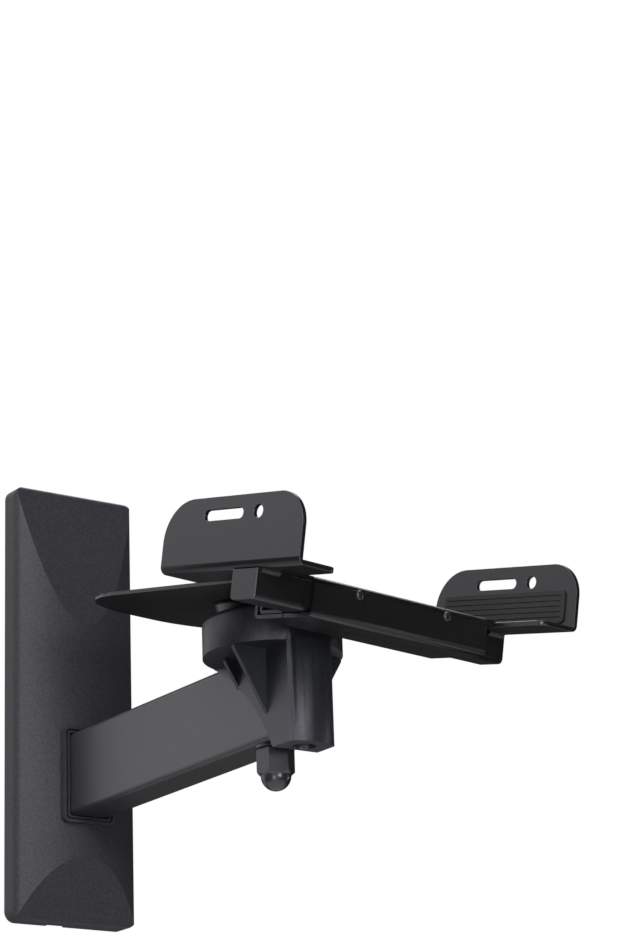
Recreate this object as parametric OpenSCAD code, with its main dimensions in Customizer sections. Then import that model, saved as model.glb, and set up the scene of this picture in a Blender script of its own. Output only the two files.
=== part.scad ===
// Side-clamping wall bracket with a ball-seat swivel and tilt joint.
// Millimetres. Origin: centre of the back face of the wall plate, +X right, -Y out of the wall, +Z up.

/* [Pose at rest] */
// Nose-down tilt of the tray, which is also its limit each way
tilt = 10.7; // [4:0.1:14]
// Swivel of the tray, seen from above
swivel = 9.2; // [-60:0.1:60]

/* [Wall plate] */
// Gap between the plate's ends and the inside of the cover
plate_end = 3.5; // [3:0.25:8]
// Sheet thickness of the wall plate
plate_t = 2.5; // [2:0.1:3]
// Depth of the plate's folded side flanges
plate_flange = 8.2; // [7.5:0.1:8.5]
// Distance between the screw holes across the plate
screw_span_x = 36; // [24:1:40]
// Distance between the screw holes up the plate
screw_span_z = 156; // [130:1:170]
// Diameter of the wall screw holes
screw_hole_d = 6; // [4:0.1:7]

/* [Wall cover] */
// Width of the cover
cover_w = 63; // [60:0.5:76]
// Height of the cover
cover_h = 205; // [199:1:240]
// Depth of the cover's side walls
cover_side = 10; // [9.5:0.5:14]
// How far the curved front rises above the side walls
cover_crown = 11; // [7:0.5:14]
// Wall thickness of the cover
cover_wall = 2; // [1.5:0.1:2.5]
// Height of the lower ramp
ramp_low = 29; // [20:1:40]
// Height of the upper ramp
ramp_top = 67; // [50:1:80]
// Radius of the cover's long edges and of its four corners
cover_corner = 5; // [4:0.25:5.5]
// Radius between the ramps and the cover's ends
cover_edge = 2.2; // [1.6:0.1:2.4]
// Margin of the collar around the arm
collar_margin = 3.2; // [3:0.1:5]
// How far the collar stands out of the crown
collar_proud = 2; // [1:0.25:4]
// Width of the groove in the collar
collar_groove = 0.9; // [0.6:0.1:1.2]

/* [Arm] */
// Width of the arm tube
arm_w = 20; // [18:0.5:24]
// Height of the arm tube
arm_h = 38; // [32:0.5:44]
// Wall thickness of the arm tube
arm_t = 2; // [1.5:0.1:2.5]
// Corner radius of the arm tube
arm_r = 2.4; // [2:0.1:2.8]
// Drop of the arm's centre line below the plate's centre
arm_drop = 36.5; // [25:0.5:45]
// Distance from the wall to the swivel axis
reach = 174.5; // [150:0.5:240]
// Leg of the weld at the arm's root
weld_leg = 3.5; // [2:0.25:4.5]

/* [Hub] */
// Outer diameter of the cup
cup_d = 59; // [54:0.5:66]
// Height of the cup
cup_h = 16; // [14:0.25:18]
// Least thickness of the cup's floor
cup_floor = 3.8; // [3:0.1:5]
// Radius on the cup's rim
rim_r = 2.5; // [1:0.1:3]
// Thickness of the cheeks beside the tube
cheek_t = 1.05; // [0.9:0.05:2]
// Distance from the swivel axis to the front of the nose
nose_reach = 30.8; // [29:0.1:36]
// Bow of the nose's front face
nose_bow = 4; // [2:0.25:8]
// How far the hub hangs below the arm
nose_drop = 4.5; // [3:0.25:7]
// Diameter of the round recess under the nose
core_d = 10; // [6:0.5:11]
// Depth of the round recess under the nose
core_depth = 2; // [1:0.25:2.5]
// Distance from the swivel axis to the end of the tube
tube_end = 17.5; // [14:0.25:19]
// Gap between the end of the tube and the nose
nose_gap = 4; // [2:0.25:5]
// Radius of the swept rear edge of the cheeks
cheek_sweep = 95; // [80:1:160]
// Distance of the cheeks' lower corner in front of the swivel axis
cheek_foot = 14.5; // [13.5:0.25:15.5]
// Distance between the two ribs of a side
rib_pitch = 21; // [16:0.5:26]
// Thickness of a rib
rib_t = 2; // [1.5:0.1:3]
// Rise of a rib for each millimetre of its width
rib_slope = 1.74; // [1.3:0.02:1.8]
// How much narrower the rear rib is than the front one
rib_step = 9.3; // [7:0.1:11]

/* [Swivel joint] */
// Radius of the spherical seat in the cup
seat_r = 24.5; // [22:0.25:25]
// Clearance between the spherical faces
seat_gap = 0.1; // [0.05:0.01:0.2]
// Gap left under the tray where it tips onto the rim
rim_gap = 0.3; // [0.2:0.1:1.5]
// Diameter of the pivot bolt
bolt_d = 8; // [6:0.5:10]
// Clearance around the pivot bolt in its bores
bolt_gap = 0.08; // [0.05:0.01:0.1]
// Clearance around the pivot bolt in the tray's slot
slot_gap = 0.35; // [0.2:0.05:0.6]
// Diameter of the domed saddle washer
saddle_d = 29; // [27:0.5:31]
// Thickness of the saddle washer at its edge
saddle_edge = 0.9; // [0.6:0.1:1.5]
// Width of the bolt head across its flats
head_af = 13; // [11:0.5:15]
// Height of the bolt head
head_h = 5.3; // [4:0.1:6]
// Diameter of the flat washer
washer_d = 17; // [16:0.25:19]
// Thickness of the flat washer
washer_t = 1.2; // [0.8:0.1:2]
// Width of the cap nut across its flats
nut_af = 14; // [12:0.25:15]
// Height of the cap nut's hexagon
nut_h = 11.3; // [8:0.1:14]
// Turn of the tightened cap nut
nut_turn = 26.6; // [0:0.1:59.9]
// Diameter of the cap nut's dome
nut_dome = 12.8; // [11:0.1:13]

/* [Tray] */
// Width of the tray plate at the front
tray_w = 116; // [110:1:116]
// Width towards which the tray narrows at its rear edge
tray_rear_w = 84; // [80:1:108]
// Sheet thickness of the tray
tray_t = 1.6; // [1.2:0.1:2]
// Distance from the tilt centre forward to the front wall
tray_front = 80.4; // [76:0.1:90]
// Distance from the tilt centre back to the rear edge
tray_rear = 85.5; // [70:0.5:95]
// Radius of the tray's rear corners
tray_corner = 38; // [15:1:38]
// Width of the front wall and of the rear guide
channel_w = 99; // [86:1:104]
// Outer radius of the sheet's bends
bend_r = 2.6; // [2.2:0.1:3]
// Gap between the two lips under the rails
lip_seam = 0.6; // [0.4:0.1:4]
// Width of the rear guide's top flange
guide_flange = 11; // [8:0.5:14]
// Thickness of the foam pads
pad_t = 1; // [0.6:0.1:2]
// Width of a tray pad
tray_pad_w = 12; // [8:1:16]
// Length of a tray pad
tray_pad_l = 85; // [60:1:95]
// Distance between the two lock screws of a wall
lock_span = 50; // [40:1:60]
// Diameter of the lock screws
lock_d = 3; // [2.5:0.1:3.2]
// Diameter of the lock screws' heads
lock_head = 4; // [3.6:0.1:5]

/* [Rails] */
// Width of a rail
rail_w = 14.5; // [12:0.25:16]
// Height of a rail
rail_h = 12.2; // [11:0.1:14]
// Sheet thickness of a rail
rail_t = 1.8; // [1.4:0.1:2]
// Gap between the two rails
rail_gap = 0.8; // [0.6:0.1:2]
// Sliding clearance of a rail
slide_gap = 0.3; // [0.2:0.05:0.5]

/* [Jaws] */
// Clear width between the jaws when they are pushed in
jaw_gap = 155; // [153:1:165]
// Sheet thickness of a jaw
jaw_t = 2; // [1.6:0.1:2.4]
// Length of a jaw
jaw_l = 81.5; // [66:0.5:90]
// Height of a jaw above its flange's underside
jaw_h = 29.5; // [27:0.5:45]
// Distance from the tray's front wall forward to the jaws' front edge
jaw_lead = 22.5; // [15:0.5:30]
// Radius of a jaw's front upper corner
jaw_front_r = 14; // [4:0.5:14]
// Radius of a jaw's rear upper corner
jaw_rear_r = 17; // [6:0.5:18]
// Gap between a jaw's flange and the tray
flange_gap = 1; // [0.5:0.1:3]
// Height of the slot and the hole above the flange's underside
slot_up = 22.2; // [21:0.1:24]
// Length of the slot
slot_l = 23; // [15:0.5:30]
// Width of the slot
slot_w = 4.5; // [3:0.1:6]
// Distance of the slot's middle behind the jaw's front edge
slot_back = 46.5; // [40:0.5:50]
// Diameter of the round hole
hole_d = 5.4; // [3:0.1:6]
// Distance of the round hole behind the jaw's front edge
hole_back = 26.3; // [22:0.1:29]
// Height of a jaw pad
jaw_pad_h = 14; // [8:0.5:15]

/* [Hidden] */
$fn = 96;
eps = 0.01;
far = 400;

// Wall end
cover_fit = 0.4;
plate_w = cover_w - 2 * cover_wall - 2 * cover_fit;
plate_h = cover_h - 2 * cover_wall - 2 * plate_end;
plate_bend = plate_t + 1;
snap_w = 12;
snap_h = 2.2;
snap_z = plate_h / 2 - 24;
snap_proud = 1.2;
snap_y = 5;
window_fit = 0.3;
crown_y = -cover_side - cover_crown;
arch_r = (cover_w * cover_w / 4 + cover_crown * cover_crown) / (2 * cover_crown);
arch_y = crown_y + arch_r;
collar_l = cover_crown / 2 + collar_proud;
groove_depth = 1.6;
pry_x = -6;
pry_w = 9;

// Arm and hub
arm_top = -arm_drop + arm_h / 2;
arm_low = -arm_drop - arm_h / 2;
cup_r = cup_d / 2;
cup_low = arm_top;
cup_top = cup_low + cup_h;
seat_z = cup_low + cup_floor + seat_r;
tube_fit = 0.1;
nose_half = arm_w / 2 + tube_fit + cheek_t;
nose_y = -reach - nose_reach + nose_bow;
nose_arc = (nose_half * nose_half + nose_bow * nose_bow) / (2 * nose_bow);
nose_low = arm_low - nose_drop;
core_y = -reach - cheek_foot - core_d / 2 - 1.5;
bore_r = bolt_d / 2 + bolt_gap;

// Tray frame, whose origin is the centre of the spherical seat
rim_reach = (seat_z - cup_top + rim_r) * cos(tilt) - (cup_r - rim_r) * sin(tilt);
under_z = -rim_reach + rim_r + rim_gap;
tray_z = under_z + tray_t;
dome_r = seat_r - seat_gap;
dome_in = dome_r - tray_t;
saddle_r = dome_in - seat_gap;
saddle_low = sqrt(saddle_r * saddle_r - saddle_d * saddle_d / 4);
saddle_top = -saddle_low + saddle_edge;
slot_r = bolt_d / 2 + slot_gap;
slot_half = dome_r * sin(tilt) + slot_gap;

// Rails, walls and lips across the channel, from the front wall backwards
front_y = -tray_front;
front_rail_y = front_y + tray_t + slide_gap;
rear_rail_y = front_rail_y + rail_w + rail_gap;
guide_y = rear_rail_y + rail_w + slide_gap;
lip = (guide_y + tray_t - front_y - lip_seam) / 2;
flange_z = tray_z - jaw_t;
rail_low = flange_z - rail_h;
lip_top = rail_low - slide_gap;
lip_low = lip_top - tray_t;
rail_bend = rail_t + 0.4;
lock_z = under_z - lock_head / 2;
lock_bore = lock_d / 2 + 0.05;
lock_head_h = 1.2;
tray_edge = 2;
taper = atan2((tray_w - tray_rear_w) / 2, tray_rear - front_y - bend_r);
pad_x = sqrt(dome_r * dome_r - under_z * under_z) + 5 + tray_pad_w / 2;
pad_y = -20;

// Jaws
jaw_in = jaw_gap / 2;
jaw_y = front_y - jaw_lead;
flange_in = tray_w / 2 + flange_gap;
rail_out = jaw_in + jaw_t / 2;
rail_in = 0.5 - channel_w / 2;
rail_l = rail_out - rail_in;
jaw_bend = jaw_t + 1;
bead_r = 1.8;
bead_l = 9;

module rounded_rect(w, h, r) {
    square([w - 2 * r, h], center = true);
    square([w, h - 2 * r], center = true);
    for (x = [-1, 1], y = [-1, 1])
        translate([x * (w / 2 - r), y * (h / 2 - r)]) circle(r);
}

// The waste outside a quarter circle in the corner at the origin, towards +x and +y
module corner_waste(r) {
    translate([-1, -1])
        difference() {
            square([r + 1, r + 1]);
            translate([r + 1, r + 1]) circle(r);
        }
}

// A flat outline in x and z, as thick as t towards -y from y
module face_plate(y, t) {
    translate([0, y, 0]) rotate([90, 0, 0]) linear_extrude(t) children();
}

// A section in y and z, swept along x from x0 to x1
module sweep_x(x0, x1) {
    translate([x0, 0, 0]) rotate([90, 0, 90]) linear_extrude(x1 - x0) children();
}

module on_tray() {
    translate([0, -reach, seat_z]) rotate([0, 0, swivel]) rotate([tilt, 0, 0]) children();
}

module on_swivel() {
    translate([0, -reach, 0]) rotate([0, 0, swivel]) children();
}

// Wall end

module plate_section() {
    difference() {
        translate([-plate_w / 2, -plate_flange]) square([plate_w, plate_flange]);
        translate([-plate_w / 2 + plate_t, -plate_flange - 1])
            square([plate_w - 2 * plate_t, plate_flange - plate_t + 1]);
        for (s = [0, 1]) mirror([s, 0])
            translate([plate_w / 2, 0]) rotate(180) corner_waste(plate_bend);
    }
}

module wall_plate() {
    color("dimgray")
        difference() {
            translate([0, 0, -plate_h / 2]) linear_extrude(plate_h) plate_section();
            for (x = [-1, 1], z = [-1, 1]) {
                translate([x * screw_span_x / 2, 1, z * screw_span_z / 2])
                    rotate([90, 0, 0]) cylinder(d = screw_hole_d, h = plate_t + 2);
                translate([x * plate_w / 2, -snap_y, z * snap_z])
                    cube([3 * plate_t, snap_h + 2 * window_fit, snap_w + 2 * window_fit], center = true);
            }
        }
}

module root_weld() {
    color("#2b2b2b")
        translate([0, 0, -arm_drop])
        difference() {
            hull() {
                face_plate(-plate_t, eps) rounded_rect(arm_w + 2 * weld_leg, arm_h + 2 * weld_leg, arm_r + weld_leg);
                face_plate(-plate_t - weld_leg, eps) rounded_rect(arm_w + 0.6, arm_h + 0.6, arm_r);
            }
            face_plate(0, far) rounded_rect(arm_w + 2 * eps, arm_h + 2 * eps, arm_r);
        }
}

// Cover seen from above: straight sides and an arched front, moved in by inset
module cover_plan(inset) {
    half_w = cover_w / 2 - inset;
    arch = arch_r - inset;
    e = cover_corner - inset;
    side = arch_y - sqrt((arch - e) * (arch - e) - (half_w - e) * (half_w - e));
    turn = atan2(side - arch_y, half_w - e);
    difference() {
        intersection() {
            translate([0, arch_y]) circle(arch, $fn = 360);
            translate([-half_w, arch_y - arch - 1]) square([2 * half_w, arch - arch_y + 1]);
        }
        for (s = [0, 1]) mirror([s, 0]) translate([half_w - e, side])
            difference() {
                polygon([[0, 0], [9, 0], [9, -9], 9 * [cos(turn), sin(turn)]]);
                circle(e);
            }
    }
}

// One ramp in y and z, from the bottom wall upwards; the waste lies in front of it
module ramp_waste(inset, length) {
    lean = atan2(cover_crown, length);
    e = cover_edge;
    foot = -cover_side + (inset + e) / cos(lean) - (inset + e) * tan(lean);
    translate([-cover_side, -cover_h / 2]) rotate(lean)
        translate([inset - far, -far / 2]) square(far);
    translate([foot, inset + e - cover_h / 2])
        polygon(concat(
            [-9 * [cos(lean), sin(lean)], [-9, -9], [0, -9]],
            [for (i = [0 : 6]) let (t = -90 - (90 - lean) * i / 6) e * [cos(t), sin(t)]]
        ));
}

module cover_side_view(inset) {
    difference() {
        translate([-far / 2, inset - cover_h / 2]) square([far / 2, cover_h - 2 * inset]);
        ramp_waste(inset, ramp_low);
        mirror([0, 1]) ramp_waste(inset, ramp_top);
    }
}

module cover_form(inset) {
    intersection() {
        translate([0, 0, -cover_h]) linear_extrude(2 * cover_h) cover_plan(inset);
        sweep_x(-cover_w, cover_w) cover_side_view(inset);
        face_plate(0, far) rounded_rect(cover_w - 2 * inset, cover_h - 2 * inset, cover_corner - inset);
    }
}

module collar_block(margin) {
    rounded_rect(arm_w + 2 * margin, arm_h + 2 * margin, 1 + margin / 2);
}

module wall_cover() {
    face_y = crown_y - collar_proud;
    color("#34353a")
        difference() {
            union() {
                cover_form(0);
                translate([0, face_y + collar_l, -arm_drop])
                    face_plate(0, collar_l) collar_block(collar_margin);
            }
            difference() {
                translate([0, eps, 0]) cover_form(cover_wall);
                for (x = [-1, 1], z = [-1, 1])
                    translate([x * (cover_w / 2 - cover_wall), -snap_y, z * snap_z])
                        cube([2 * snap_proud, snap_h, snap_w], center = true);
            }
            translate([0, 1, -arm_drop]) face_plate(0, 2 - face_y) collar_block(cover_fit);
            translate([0, face_y + groove_depth, -arm_drop])
                difference() {
                    face_plate(0, groove_depth + 1) collar_block(collar_margin / 2 + collar_groove / 2);
                    face_plate(1, groove_depth + 3) collar_block(collar_margin / 2 - collar_groove / 2);
                }
            translate([pry_x, 0, -cover_h / 2]) cube([pry_w, 5, 3 * cover_wall], center = true);
        }
}

// Arm and hub

module arm_tube() {
    color("#3c3d40")
        translate([0, 0, -arm_drop])
        difference() {
            face_plate(-plate_t, reach + tube_end - plate_t) rounded_rect(arm_w, arm_h, arm_r);
            face_plate(-plate_t + 1, reach + tube_end - plate_t + 2)
                rounded_rect(arm_w - 2 * arm_t, arm_h - 2 * arm_t, arm_r - arm_t + 0.2);
            translate([0, -reach, -arm_h]) cylinder(r = bore_r, h = 2 * arm_h);
        }
}

// Side view of the cheeks, which fall away behind the cup in one sweep
module cheek_side() {
    low_y = -reach - cheek_foot;
    top_y = -reach + cup_r - 1.5;
    chord = [low_y - top_y, nose_low - cup_low];
    mid = [low_y + top_y, nose_low + cup_low] / 2;
    along = norm(chord);
    back = sqrt(cheek_sweep * cheek_sweep - along * along / 4);
    centre = mid + back * [-chord[1], chord[0]] / along;
    difference() {
        translate([nose_y, nose_low]) square([top_y - nose_y, cup_low - nose_low + 1]);
        translate(centre) circle(cheek_sweep, $fn = 360);
    }
}

// Front of the nose, seen from above: a shallow bow between the cheeks
module nose_plan() {
    intersection() {
        translate([0, nose_y - nose_bow + nose_arc]) circle(nose_arc, $fn = 180);
        translate([-nose_half, nose_y - nose_bow - 1]) square([2 * nose_half, nose_bow + 3]);
    }
}

module rib(y, width) {
    root = cup_low - 1;
    face_plate(y + rib_t / 2, rib_t)
        polygon([
            [0, cup_low + eps], [-width, cup_low + eps], [-width, root],
            [-nose_half + 0.5, root - (width - nose_half) * rib_slope], [0, root]
        ]);
}

module arm_hub() {
    front_rib = sqrt(cup_r * cup_r - rib_pitch * rib_pitch / 4) - 0.6;
    slot_y = -reach - tube_end - nose_gap;
    color("#26292f")
        difference() {
            union() {
                translate([0, -reach, 0]) rotate_extrude()
                    difference() {
                        translate([0, cup_low]) square([cup_r, cup_h]);
                        translate([cup_r, cup_top]) rotate(180) corner_waste(rim_r);
                    }
                sweep_x(-nose_half, nose_half) cheek_side();
                translate([0, 0, nose_low]) linear_extrude(cup_low - nose_low + 1) nose_plan();
                for (s = [0, 1]) mirror([s, 0, 0]) {
                    rib(-reach - rib_pitch / 2, front_rib);
                    rib(-reach + rib_pitch / 2, front_rib - rib_step);
                }
            }
            translate([0, -reach, seat_z]) sphere(seat_r);
            translate([0, -reach, cup_low - 1]) cylinder(r = bore_r, h = cup_h);
            translate([0, slot_y + far, -arm_drop])
                face_plate(0, far) rounded_rect(arm_w + 2 * tube_fit, arm_h + eps, arm_r);
            translate([0, core_y, nose_low - 1]) cylinder(d = core_d, h = core_depth + 1);
        }
}

// Swivel joint

module pivot_bolt() {
    head_z = seat_z + saddle_top;
    nut_low = arm_low - washer_t - nut_h + 2;
    color("silver")
        on_swivel()
        union() {
            translate([0, 0, nut_low]) cylinder(d = bolt_d, h = head_z - nut_low + eps);
            translate([0, 0, head_z])
                difference() {
                    cylinder(d = head_af / cos(30), h = head_h, $fn = 6);
                    translate([0, 0, head_h - 1.2])
                        rotate_extrude()
                        polygon([
                            [head_af / 2, 1.2 + eps], [head_af, 1.2 + eps],
                            [head_af, -1], [head_af / 2 + 1.6, 0.2]
                        ]);
                }
        }
}

module saddle_washer() {
    color("gray")
        on_swivel()
        translate([0, 0, seat_z])
        difference() {
            intersection() {
                sphere(saddle_r);
                translate([0, 0, saddle_top - far]) cylinder(d = saddle_d, h = far);
            }
            translate([0, 0, -far]) cylinder(r = bore_r, h = 2 * far);
        }
}

module flat_washer() {
    color("#2a2a2c")
        on_swivel()
        translate([0, 0, arm_low - washer_t])
        difference() {
            cylinder(d = washer_d, h = washer_t);
            translate([0, 0, -1]) cylinder(r = bore_r, h = washer_t + 2);
        }
}

module cap_nut() {
    top = arm_low - washer_t;
    dome = nut_dome / 2;
    chamfer = nut_af / cos(30) / 2 - dome;
    color("#232326")
        on_swivel()
        difference() {
            union() {
                intersection() {
                    translate([0, 0, top - nut_h]) rotate([0, 0, nut_turn])
                        cylinder(d = nut_af / cos(30), h = nut_h, $fn = 6);
                    translate([0, 0, top - nut_h]) rotate_extrude()
                        polygon([
                            [0, 0], [dome, 0], [dome + chamfer, chamfer * 0.9],
                            [dome + chamfer, nut_h - 0.6], [dome + chamfer - 0.8, nut_h], [0, nut_h]
                        ]);
                }
                translate([0, 0, top - nut_h]) sphere(dome);
            }
            translate([0, 0, top - nut_h + 1.5]) cylinder(r = bore_r, h = nut_h);
        }
}

// Tray

// The tray narrows towards the rear and ends in two large corners
module tray_outline() {
    front = front_y + bend_r;
    r = tray_corner;
    back = tray_rear - r;
    c = [tray_w / 2 - (r + (back - front) * sin(taper)) / cos(taper), back];
    side = c + r * [cos(taper), sin(taper)];
    difference() {
        union() {
            polygon([
                [-tray_w / 2, front], [-side[0], side[1]], [-c[0], tray_rear],
                [c[0], tray_rear], side, [tray_w / 2, front]
            ]);
            for (s = [-1, 1]) translate([s * c[0], c[1]]) circle(r);
        }
        for (s = [0, 1]) mirror([s, 0])
            translate([tray_w / 2, front]) rotate(90) corner_waste(tray_edge);
    }
}

// Folded wall with a lip, seen from the end: y runs away from the wall, z from the lip up
module folded_wall(top) {
    height = top - lip_low;
    difference() {
        union() {
            square([tray_t, height]);
            square([lip, tray_t]);
            square([bend_r, bend_r]);
        }
        corner_waste(bend_r);
        translate([tray_t, tray_t]) square([bend_r, bend_r]);
    }
}

module tray_plate() {
    color("#2b2d31")
        on_tray()
        difference() {
            union() {
                translate([0, 0, under_z]) linear_extrude(tray_t) tray_outline();
                sweep_x(-channel_w / 2, channel_w / 2)
                    translate([front_y, lip_low])
                    difference() {
                        union() {
                            folded_wall(tray_z);
                            translate([0, tray_z - lip_low - tray_t]) square([bend_r + eps, tray_t]);
                        }
                        translate([0, tray_z - lip_low]) mirror([0, 1]) corner_waste(bend_r);
                    }
                intersection() {
                    sphere(dome_r);
                    translate([0, 0, under_z - far / 2 + eps]) cube(far, center = true);
                }
            }
            sphere(dome_in);
            bolt_slot(slot_half, slot_r);
            for (x = [-1, 1])
                translate([x * lock_span / 2, front_y - 1, lock_z])
                    rotate([-90, 0, 0]) cylinder(r = lock_bore, h = tray_t + 2);
        }
}

// Upright slot through the dome, long in y
module bolt_slot(half, r) {
    depth = dome_r + 2;
    translate([0, 0, -depth]) {
        for (y = [-1, 1]) translate([0, y * half, 0]) cylinder(r = r, h = depth / 2);
        translate([-r, -half, 0]) cube([2 * r, 2 * half, depth / 2]);
    }
}

module rear_guide() {
    color("#2b2d31")
        on_tray()
        difference() {
            sweep_x(-channel_w / 2, channel_w / 2)
                translate([guide_y + tray_t, lip_low])
                difference() {
                    union() {
                        mirror([1, 0]) folded_wall(under_z);
                        translate([-tray_t, under_z - lip_low - tray_t]) square([guide_flange, tray_t]);
                    }
                    translate([-tray_t, under_z - lip_low]) mirror([0, 1]) corner_waste(tray_t);
                }
            for (x = [-1, 1])
                translate([x * lock_span / 2, guide_y - 1, lock_z - tray_t])
                    rotate([-90, 0, 0]) cylinder(r = lock_bore, h = tray_t + 2);
        }
}

module tray_pads() {
    color("#1d1d1f")
        on_tray()
        for (x = [-1, 1])
            translate([x * pad_x, pad_y, tray_z])
                linear_extrude(pad_t) rounded_rect(tray_pad_w, tray_pad_l, 1.5);
}

// Pan-head lock screw along +y, its head's seat at the origin
module lock_screw(grip) {
    rotate([-90, 0, 0]) {
        cylinder(d = lock_d, h = grip);
        translate([0, 0, -lock_head_h])
            rotate_extrude()
            difference() {
                square([lock_head / 2, lock_head_h]);
                translate([lock_head / 2, 0]) rotate(90) corner_waste(0.8);
            }
    }
}

module front_lock_screws() {
    color("silver")
        on_tray()
        for (x = [-1, 1])
            translate([x * lock_span / 2, front_y, lock_z]) lock_screw(tray_t);
}

module rear_lock_screws() {
    color("silver")
        on_tray()
        for (x = [-1, 1])
            translate([x * lock_span / 2, guide_y + tray_t, lock_z - tray_t]) rotate(180) lock_screw(tray_t);
}

// Clamps: drawn for the left side, mirrored for the right

module jaw() {
    translate([0, jaw_y, flange_z])
        difference() {
            union() {
                translate([-jaw_in - jaw_t, 0, 0]) cube([jaw_t, jaw_l, jaw_h]);
                translate([-jaw_in - jaw_t, 0, 0]) cube([jaw_in + jaw_t - flange_in, jaw_l, jaw_t]);
            }
            translate([-jaw_in - jaw_t, -1, 0]) rotate([90, 0, 180]) mirror([1, 0, 0])
                linear_extrude(jaw_l + 2) corner_waste(jaw_bend);
            sweep_x(-far, far) translate([0, jaw_h]) mirror([0, 1]) corner_waste(jaw_front_r);
            sweep_x(-far, far) translate([jaw_l, jaw_h]) rotate(180) corner_waste(jaw_rear_r);
            translate([-flange_in, 0, -1]) mirror([1, 0, 0]) linear_extrude(jaw_t + 2) corner_waste(4);
            sweep_x(-far, -flange_in - 1)
                translate([slot_back, slot_up]) square([slot_l - slot_w, slot_w], center = true);
            for (y = [-1, 1])
                translate([-jaw_in - jaw_t - 1, slot_back + y * (slot_l - slot_w) / 2, slot_up])
                    rotate([0, 90, 0]) cylinder(d = slot_w, h = jaw_t + 2);
            translate([-jaw_in - jaw_t - 1, hole_back, slot_up])
                rotate([0, 90, 0]) cylinder(d = hole_d, h = jaw_t + 2);
        }
}

module rail(y) {
    translate([0, y, rail_low])
        difference() {
            sweep_x(-rail_out, -rail_in)
                difference() {
                    square([rail_w, rail_h]);
                    corner_waste(rail_bend);
                    translate([rail_w, 0]) rotate(90) corner_waste(rail_bend);
                }
            sweep_x(-rail_out + rail_t, far)
                difference() {
                    translate([rail_t, rail_t]) square([rail_w - 2 * rail_t, rail_h]);
                    translate([rail_t, rail_t]) corner_waste(rail_bend - rail_t);
                    translate([rail_w - rail_t, rail_t]) rotate(90) corner_waste(rail_bend - rail_t);
                }
        }
}

module welds(y) {
    for (edge = [0, rail_w])
        intersection() {
            translate([-rail_out + 2, y + edge, flange_z])
                rotate([0, 90, 0]) cylinder(r = bead_r, h = bead_l, $fn = 32);
            translate([-far / 2, y + edge - (edge == 0 ? far : 0), flange_z - far])
                cube(far);
        }
}

module jaw_pad() {
    translate([-jaw_in, jaw_y + jaw_l / 2, tray_z + 2 + jaw_pad_h / 2])
        rotate([90, 0, 90]) linear_extrude(pad_t) rounded_rect(jaw_l - 12, jaw_pad_h, 2);
}

module left_jaw() {
    color("#303237") on_tray() jaw();
}

module left_rail() {
    color("#303237") on_tray() rail(front_rail_y);
}

module left_welds() {
    color("#303237") on_tray() welds(front_rail_y);
}

module left_jaw_pad() {
    color("#1d1d1f") on_tray() jaw_pad();
}

module right_jaw() {
    color("#303237") on_tray() mirror([1, 0, 0]) jaw();
}

module right_rail() {
    color("#303237") on_tray() mirror([1, 0, 0]) rail(rear_rail_y);
}

module right_welds() {
    color("#303237") on_tray() mirror([1, 0, 0]) welds(rear_rail_y);
}

module right_jaw_pad() {
    color("#1d1d1f") on_tray() mirror([1, 0, 0]) jaw_pad();
}

wall_plate();
root_weld();
wall_cover();
arm_tube();
arm_hub();
pivot_bolt();
saddle_washer();
flat_washer();
cap_nut();
tray_plate();
rear_guide();
tray_pads();
front_lock_screws();
rear_lock_screws();
left_jaw();
left_rail();
left_welds();
left_jaw_pad();
right_jaw();
right_rail();
right_welds();
right_jaw_pad();
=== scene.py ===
import math
import bmesh
import bpy
from mathutils import Matrix, Vector


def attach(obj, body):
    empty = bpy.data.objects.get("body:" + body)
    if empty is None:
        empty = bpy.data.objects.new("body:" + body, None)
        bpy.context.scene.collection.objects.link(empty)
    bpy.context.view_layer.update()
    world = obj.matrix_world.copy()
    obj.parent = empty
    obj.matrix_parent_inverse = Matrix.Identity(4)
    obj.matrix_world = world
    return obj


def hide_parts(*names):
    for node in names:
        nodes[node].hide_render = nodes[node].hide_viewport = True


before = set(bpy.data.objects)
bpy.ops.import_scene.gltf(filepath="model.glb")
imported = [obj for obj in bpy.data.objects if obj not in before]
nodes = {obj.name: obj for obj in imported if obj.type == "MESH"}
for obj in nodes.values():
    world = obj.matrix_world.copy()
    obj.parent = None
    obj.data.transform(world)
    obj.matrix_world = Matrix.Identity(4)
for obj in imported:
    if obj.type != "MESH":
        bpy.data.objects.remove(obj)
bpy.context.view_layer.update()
print("frame loaded")

# Finishes
texture = {
    "speckleDetail": 3,
    "cloudDetail": 4,
    "darkBelow": 0.35,
    "paleAbove": 0.65,
}


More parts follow.
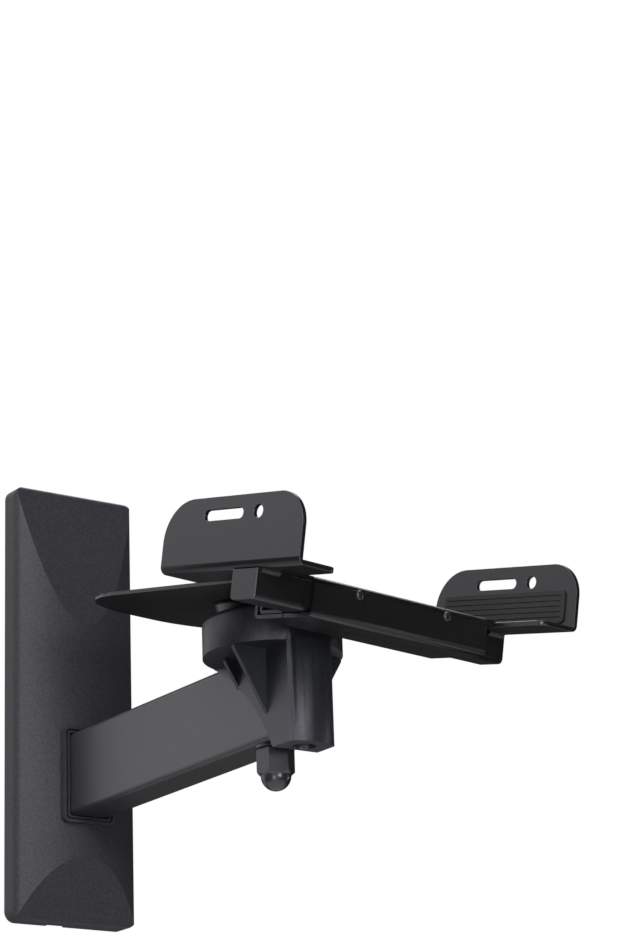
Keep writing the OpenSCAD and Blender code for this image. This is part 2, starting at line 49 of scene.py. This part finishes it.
def coat(name, base, roughness, metallic=0.0, specular=0.5, tint=(1, 1, 1), grain=None, mottle=None):
    # grain is (texture scale, bump height in metres), mottle is (texture scale, share of the colour)
    material = bpy.data.materials.new(name)
    material.use_nodes = True
    tree = material.node_tree
    shader = tree.nodes["Principled BSDF"]
    shader.inputs["Base Color"].default_value = (*base, 1)
    shader.inputs["Roughness"].default_value = roughness
    shader.inputs["Metallic"].default_value = metallic
    shader.inputs["Specular IOR Level"].default_value = specular
    shader.inputs["Specular Tint"].default_value = (*tint, 1)
    place = tree.nodes.new("ShaderNodeTexCoord")
    if grain:
        grainScale, height = grain
        speckle = tree.nodes.new("ShaderNodeTexNoise")
        speckle.inputs["Scale"].default_value = grainScale
        speckle.inputs["Detail"].default_value = texture["speckleDetail"]
        bump = tree.nodes.new("ShaderNodeBump")
        bump.inputs["Distance"].default_value = height
        tree.links.new(place.outputs["Object"], speckle.inputs["Vector"])
        tree.links.new(speckle.outputs["Fac"], bump.inputs["Height"])
        tree.links.new(bump.outputs["Normal"], shader.inputs["Normal"])
    if mottle:
        cloudScale, share = mottle
        cloud = tree.nodes.new("ShaderNodeTexNoise")
        cloud.inputs["Scale"].default_value = cloudScale
        cloud.inputs["Detail"].default_value = texture["cloudDetail"]
        tone = tree.nodes.new("ShaderNodeValToRGB")
        dark, pale = tone.color_ramp.elements
        dark.position = texture["darkBelow"]
        pale.position = texture["paleAbove"]
        dark.color = (*[c * (1 - share) for c in base], 1)
        pale.color = (*[c * (1 + share) for c in base], 1)
        tree.links.new(place.outputs["Object"], cloud.inputs["Vector"])
        tree.links.new(cloud.outputs["Fac"], tone.inputs["Fac"])
        tree.links.new(tone.outputs["Color"], shader.inputs["Base Color"])
    return material


cool = (0.91, 0.9, 1)  # the slight blue of the coats' shine
coverPlastic = coat("coverPlastic", (0.025, 0.025, 0.029), 0.55, specular=0.36, tint=cool,
                    grain=(1500, 0.00012), mottle=(900, 0.25))
plateSteel = coat("plateSteel", (0.05, 0.05, 0.053), 0.45, mottle=(60, 0.1))
armCoat = coat("armCoat", (0.02, 0.02, 0.022), 0.36, specular=0.78, tint=cool,
               grain=(1400, 0.00002), mottle=(120, 0.06))
hubCoat = coat("hubCoat", (0.016, 0.0175, 0.022), 0.42, specular=0.6, tint=cool,
               grain=(1100, 0.00008), mottle=(700, 0.2))
trayCoat = coat("trayCoat", (0.006, 0.006, 0.0065), 0.34, specular=0.39, tint=cool,
                grain=(1400, 0.00002), mottle=(120, 0.08))
# painted highlight: these two paler coats go on the eased edges and paint the light that the bends and
# rounds catch
trayEdgeHighlight = coat("trayEdgeHighlight", (0.05, 0.05, 0.055), 0.28, mottle=(500, 0.15))
hubEdgeHighlight = coat("hubEdgeHighlight", (0.04, 0.043, 0.05), 0.35, mottle=(500, 0.15))
weldCoat = coat("weldCoat", (0.02, 0.02, 0.022), 0.4, grain=(500, 0.0006), mottle=(400, 0.2))
bareSteel = coat("bareSteel", (0.55, 0.55, 0.56), 0.3, metallic=1.0, mottle=(300, 0.08))
blackSteel = coat("blackSteel", (0.016, 0.016, 0.018), 0.29, specular=0.62, tint=cool,
                  mottle=(300, 0.1))
padFoam = coat("padFoam", (0.012, 0.012, 0.012), 0.85, grain=(2500, 0.0001), mottle=(1500, 0.3))
print("finishes made")

sheetParts = ["tray_plate", "rear_guide", "left_jaw", "left_rail", "right_jaw", "right_rail"]
coats = {
    coverPlastic: ["wall_cover"],
    plateSteel: ["wall_plate", "root_weld"],
    armCoat: ["arm_tube"],
    hubCoat: ["arm_hub"],
    trayCoat: sheetParts,
    weldCoat: ["left_welds", "right_welds"],
    bareSteel: ["pivot_bolt", "saddle_washer"],
    blackSteel: ["flat_washer", "cap_nut"],
}
for material, names in coats.items():
    for name in names:
        nodes[name].data.materials.clear()
        nodes[name].data.materials.append(material)
print("nodes painted")

# Eased edges: the sheet parts have one narrow flat, the cast hub a small round, and each of these takes a
# paler coat, a painted highlight along the edge
easing = {
    "mergeWithin": 0.000002,
    "flatWithin": math.radians(0.5),
    "sharpFrom": math.radians(40),
    "sheetWidth": 0.0003,
    "hubWidth": 0.0004,
}


def easeEdges(name, width, highlightCoat, segments):
    piece = nodes[name]
    piece.data.materials.append(highlightCoat)
    join = piece.modifiers.new("join", "WELD")
    join.merge_threshold = easing["mergeWithin"]
    flat = piece.modifiers.new("flat", "DECIMATE")
    flat.decimate_type = "DISSOLVE"
    flat.angle_limit = easing["flatWithin"]
    edge = piece.modifiers.new("edge", "BEVEL")
    edge.width = width
    edge.segments = segments
    edge.limit_method = "ANGLE"
    edge.angle_limit = easing["sharpFrom"]
    edge.harden_normals = segments > 1
    # the eased faces take the second, paler coat: a painted highlight
    edge.material = 1


for name in sheetParts:
    easeEdges(name, easing["sheetWidth"], trayEdgeHighlight, segments=1)
easeEdges("arm_hub", easing["hubWidth"], hubEdgeHighlight, segments=2)
print("edges eased")

# The tray's own frame at rest, in metres: x to its right, y to the wall, z off its top
tray = {
    "pivot": (0, -0.1745, 0.0108),
    "swivel": math.radians(9.2),
    "tilt": math.radians(10.7),
}
trayPlace = (Matrix.Translation(tray["pivot"])
             @ Matrix.Rotation(tray["swivel"], 4, "Z") @ Matrix.Rotation(tray["tilt"], 4, "X"))
mergeWithin = 0.000001


def axes(origin, x, y, z):
    # a place in the tray's frame whose own axes point along x, y and z
    return trayPlace @ Matrix.Translation(origin) @ Matrix((x, y, z)).transposed().to_4x4()


def addTo(shape, part, place):
    # moves a finished part to its place and adds it to the shape
    bmesh.ops.remove_doubles(part, verts=part.verts, dist=mergeWithin)
    bmesh.ops.recalc_face_normals(part, faces=part.faces)
    bmesh.ops.transform(part, matrix=place, verts=part.verts)
    mesh = bpy.data.meshes.new("part")
    part.to_mesh(mesh)
    shape.from_mesh(mesh)
    part.free()
    bpy.data.meshes.remove(mesh)


def buildPiece(name, make, values, material, body, node):
    # makes one part at each of the piece's places and lets it stand in for the node
    shape = bmesh.new()
    for origin in values["origins"]:
        addTo(shape, make(values), axes(origin, *values["axes"]))
    mesh = bpy.data.meshes.new(name)
    shape.to_mesh(mesh)
    shape.free()
    mesh.materials.append(material)
    piece = bpy.data.objects.new(name, mesh)
    bpy.context.collection.objects.link(piece)
    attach(piece, body)
    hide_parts(node)
    return piece


# Thin grooved rubber strips, glued on the jaws and on the tray
def gripStrip(strip):
    part = bmesh.new()
    bmesh.ops.create_cube(part, size=1)
    bmesh.ops.scale(part, vec=(strip["length"], strip["width"], strip["thickness"]), verts=part.verts)
    upright = [e for e in part.edges if abs(e.verts[0].co.z - e.verts[1].co.z) > strip["thickness"] / 2]
    bmesh.ops.bevel(part, geom=upright, offset=strip["corner"], segments=strip["cornerSteps"],
                    profile=0.5, affect="EDGES", material=-1)
    rim = [e for e in part.edges if min(v.co.z for v in e.verts) > 0]
    bmesh.ops.bevel(part, geom=rim, offset=strip["round"], segments=strip["roundSteps"],
                    profile=0.5, affect="EDGES", material=-1)
    cuts = [(side * (strip["length"] / 2 - strip["margin"]), (1, 0, 0)) for side in (-1, 1)]
    for count in range(strip["grooves"]):
        middle = (count - (strip["grooves"] - 1) / 2) * strip["pitch"]
        cuts += [(middle + side * strip["groove"] / 2, (0, 1, 0)) for side in (-1, 1)]
    for offset, along in cuts:
        bmesh.ops.bisect_plane(part, geom=part.verts[:] + part.edges[:] + part.faces[:],
                               plane_co=Vector(along) * offset, plane_no=along)
    part.normal_update()
    # the long narrow faces of the top, between two cuts, sink into grooves
    top = [f for f in part.faces
           if f.normal.z > 0.99 and abs(f.calc_center_median().x) < strip["length"] / 4]
    grooves = [f for f in top
               if max(v.co.y for v in f.verts) - min(v.co.y for v in f.verts) < strip["groove"] * 1.1]
    bmesh.ops.inset_individual(part, faces=grooves, thickness=strip["slope"], depth=-strip["depth"])
    return part


leftJawStrip = {
    "length": 0.0695, "width": 0.014, "thickness": 0.001,
    "corner": 0.002, "cornerSteps": 6, "round": 0.0003, "roundSteps": 3,
    "grooves": 5, "pitch": 0.0023, "groove": 0.0008, "slope": 0.0002, "depth": 0.0004,
    "margin": 0.0016,
    "origins": [(-0.077, -0.06215, 0.00387)],
    "axes": [(0, 1, 0), (0, 0, 1), (1, 0, 0)],
}
buildPiece("leftJawStrip", gripStrip, leftJawStrip, padFoam, "left_clamp", "left_jaw_pad")

rightJawStrip = dict(leftJawStrip,
                     origins=[(0.077, -0.06215, 0.00387)],
                     axes=[(0, 1, 0), (0, 0, -1), (-1, 0, 0)])
buildPiece("rightJawStrip", gripStrip, rightJawStrip, padFoam, "right_clamp", "right_jaw_pad")

trayStrips = dict(leftJawStrip, length=0.085, width=0.012, corner=0.0015, grooves=4,
                  origins=[(side * 0.03445, -0.02, -0.00463) for side in (-1, 1)],
                  axes=[(0, 1, 0), (-1, 0, 0), (0, 0, 1)])
buildPiece("trayStrips", gripStrip, trayStrips, padFoam, "tray", "tray_pads")
print("strips glued on")


# Button-head lock screws with a hexagon socket
def buttonScrew(screw):
    part = bmesh.new()
    flat, floor = screw["socketFlat"], screw["height"] - screw["socketDepth"]
    lip = flat * screw["lipShare"]
    outline = [
        (0, -screw["grip"]),
        (screw["shank"], -screw["grip"]),
        (screw["shank"], 0),
        (screw["head"], 0),
        (screw["head"], screw["seat"]),
    ]
    for step in range(screw["domeSteps"]):
        turn = math.radians(90 / screw["domeSteps"] * (step + 1))
        outline.append((lip + (screw["head"] - lip) * math.cos(turn),
                        screw["seat"] + (screw["height"] - screw["seat"]) * math.sin(turn)))
    outline += [
        (flat * screw["mouthShare"], screw["height"]),
        (flat, screw["height"] - screw["mouthDepth"]),
        (flat, floor),
        (0, floor - screw["drillPoint"]),
    ]
    points = [part.verts.new((x, 0, z)) for x, z in outline]
    line = [part.edges.new(pair) for pair in zip(points, points[1:])]
    bmesh.ops.spin(part, geom=points + line, cent=(0, 0, 0), axis=(0, 0, 1), angle=math.tau,
                   steps=screw["steps"], use_merge=True)
    bmesh.ops.remove_doubles(part, verts=part.verts, dist=mergeWithin)
    for vert in part.verts:  # the socket's round wall becomes a hexagon
        if abs(Vector(vert.co[:2]).length - flat) < screw["wallWithin"]:
            turn = math.atan2(vert.co.y, vert.co.x) % math.radians(60) - math.radians(30)
            vert.co.x /= math.cos(turn)
            vert.co.y /= math.cos(turn)
    for face in part.faces:
        face.smooth = True
    return part


frontLockScrews = {
    "shank": 0.0015, "grip": 0.0016,
    "head": 0.002, "seat": 0.0004, "height": 0.00115,
    "socketFlat": 0.00075, "socketDepth": 0.0008, "drillPoint": 0.0002,
    "lipShare": 1.4, "mouthShare": 1.2, "mouthDepth": 0.0001,
    "domeSteps": 6, "steps": 48, "wallWithin": 0.00001,
    "origins": [(side * 0.025, -0.0804, -0.00873) for side in (-1, 1)],
    "axes": [(1, 0, 0), (0, 0, 1), (0, -1, 0)],
}
frontScrews = buildPiece("frontLockScrews", buttonScrew, frontLockScrews, blackSteel,
                         "tray", "front_lock_screws")

rearLockScrews = dict(frontLockScrews,
                      origins=[(side * 0.025, -0.0456, -0.01033) for side in (-1, 1)],
                      axes=[(-1, 0, 0), (0, 0, 1), (0, 1, 0)])
rearScrews = buildPiece("rearLockScrews", buttonScrew, rearLockScrews, blackSteel,
                        "tray", "rear_lock_screws")
for piece in (frontScrews, rearScrews):
    piece.data.set_sharp_from_angle(angle=math.radians(35))
print("lock screws set")


# Floor, light and camera
def mirrorRays(tree):
    # the light path, and a value that is 1 for what gloss or glass shows
    ray = tree.nodes.new("ShaderNodeLightPath")
    mirrored = tree.nodes.new("ShaderNodeMath")
    mirrored.operation = "MAXIMUM"
    tree.links.new(ray.outputs["Is Glossy Ray"], mirrored.inputs[0])
    tree.links.new(ray.outputs["Is Transmission Ray"], mirrored.inputs[1])
    return ray, mirrored


ground = {
    "size": 3.6,
    "height": -1.4,
    "pale": 0.92,
    "thrown": 0.3,  # what the floor throws back as soft light
    "glow": 0.6,
    "roughness": 0.9,
}
floorCoat = coat("floorCoat", (ground["pale"],) * 3, ground["roughness"])
tree = floorCoat.node_tree
shader = tree.nodes["Principled BSDF"]
ray, mirrored = mirrorRays(tree)
seen = tree.nodes.new("ShaderNodeMath")
seen.operation = "MAXIMUM"
pale = tree.nodes.new("ShaderNodeMix")
pale.data_type = "RGBA"
pale.inputs["A"].default_value = (*(ground["thrown"],) * 3, 1)
pale.inputs["B"].default_value = (*(ground["pale"],) * 3, 1)
glow = tree.nodes.new("ShaderNodeMath")
glow.operation = "MULTIPLY"
glow.inputs[1].default_value = ground["glow"]
tree.links.new(ray.outputs["Is Camera Ray"], seen.inputs[0])
tree.links.new(mirrored.outputs["Value"], seen.inputs[1])
tree.links.new(seen.outputs["Value"], pale.inputs["Factor"])
tree.links.new(pale.outputs["Result"], shader.inputs["Base Color"])
tree.links.new(seen.outputs["Value"], glow.inputs[0])
tree.links.new(glow.outputs["Value"], shader.inputs["Emission Strength"])
shader.inputs["Emission Color"].default_value = (1, 1, 1, 1)
bpy.ops.mesh.primitive_plane_add(size=ground["size"], location=(0, 0, ground["height"]))
floor = bpy.context.object
floor.name = "floor"
floor.data.materials.append(floorCoat)

studio = {
    "brightSide": (-0.327, 0.899, 0.292),  # where gloss finds the pale side of the studio
    "brightFrom": 0.66,
    "brightTo": 0.88,
    "dark": 0.035,
    "fill": 0.1,
}
world = bpy.data.worlds.new("studio")
bpy.context.scene.world = world
world.use_nodes = True
tree = world.node_tree
background = tree.nodes["Background"]
sky = tree.nodes.new("ShaderNodeTexCoord")
facing = tree.nodes.new("ShaderNodeVectorMath")
facing.operation = "DOT_PRODUCT"
facing.inputs[1].default_value = Vector(studio["brightSide"]).normalized()
shade = tree.nodes.new("ShaderNodeMapRange")
shade.interpolation_type = "SMOOTHSTEP"
shade.inputs["From Min"].default_value = studio["brightFrom"]
shade.inputs["From Max"].default_value = studio["brightTo"]
shade.inputs["To Min"].default_value = studio["dark"]
shade.inputs["To Max"].default_value = 1.0
ray, mirrored = mirrorRays(tree)
softened = tree.nodes.new("ShaderNodeMix")
softened.inputs["A"].default_value = studio["fill"]
seen = tree.nodes.new("ShaderNodeMix")
seen.inputs["B"].default_value = 1.0
tree.links.new(sky.outputs["Generated"], facing.inputs[0])
tree.links.new(facing.outputs["Value"], shade.inputs["Value"])
tree.links.new(mirrored.outputs["Value"], softened.inputs["Factor"])
tree.links.new(shade.outputs["Result"], softened.inputs["B"])
tree.links.new(ray.outputs["Is Camera Ray"], seen.inputs["Factor"])
tree.links.new(softened.outputs["Result"], seen.inputs["A"])
tree.links.new(seen.outputs["Result"], background.inputs["Strength"])
background.inputs["Color"].default_value = (1, 1, 1, 1)

# Softboxes: azimuth from +X towards +Y and elevation in degrees, size in metres, power in watts
lamps = {
    "keyLight": (222, 28, 0.45, 13.5),
    "frontLight": (264, -6, 0.4, 6.3),
    "bounceLight": (222, -20, 0.45, 3.6),
    "backLight": (160, 35, 0.9, 3.6),
    "edgeLight": (342, -8, 0.15, 0.8),
    "rightLight": (50, 55, 0.9, 6.0),
    "topLight": (70, 75, 0.9, 7.0),
}
lampAim = Vector((0, -0.17, -0.06))
lampDistance = 1.25
for name, (azimuth, elevation, size, power) in lamps.items():
    light = bpy.data.lights.new(name, "AREA")
    light.size = size
    light.energy = power
    lamp = bpy.data.objects.new(name, light)
    turn, lift = math.radians(azimuth), math.radians(elevation)
    outward = Vector((math.cos(turn) * math.cos(lift), math.sin(turn) * math.cos(lift), math.sin(lift)))
    lamp.location = lampAim + lampDistance * outward
    lamp.rotation_euler = outward.to_track_quat("Z", "Y").to_euler()
    lamp.visible_camera = False
    bpy.context.collection.objects.link(lamp)
print("lights placed")

# Camera: yaw from +Y towards +X, focal length and long side in pixels, sensor in millimetres
view = {
    "place": (-0.67536, -1.16682, -0.34398),
    "yaw": math.radians(35.2),
    "pitch": math.radians(18.83),
    "roll": math.radians(-1.91),
    "focalPixels": 2957.54,
    "longSide": 940,
    "sensor": 36,
    "clipEnd": 30,
}
yaw, pitch, roll = view["yaw"], view["pitch"], view["roll"]
forward = Vector((math.sin(yaw) * math.cos(pitch), math.cos(yaw) * math.cos(pitch), math.sin(pitch)))
level = Vector((math.cos(yaw), -math.sin(yaw), 0))
rise = level.cross(forward)
right = math.cos(roll) * level + math.sin(roll) * rise
up = -math.sin(roll) * level + math.cos(roll) * rise
camera = bpy.data.objects.new("camera", bpy.data.cameras.new("camera"))
camera.data.sensor_width = view["sensor"]
camera.data.lens = view["focalPixels"] * view["sensor"] / view["longSide"]
camera.data.clip_end = view["clipEnd"]
camera.matrix_world = Matrix.Translation(view["place"]) @ Matrix((right, up, -forward)).transposed().to_4x4()
bpy.context.collection.objects.link(camera)
bpy.context.scene.camera = camera
bpy.context.scene.view_settings.view_transform = "Standard"
print("camera set")
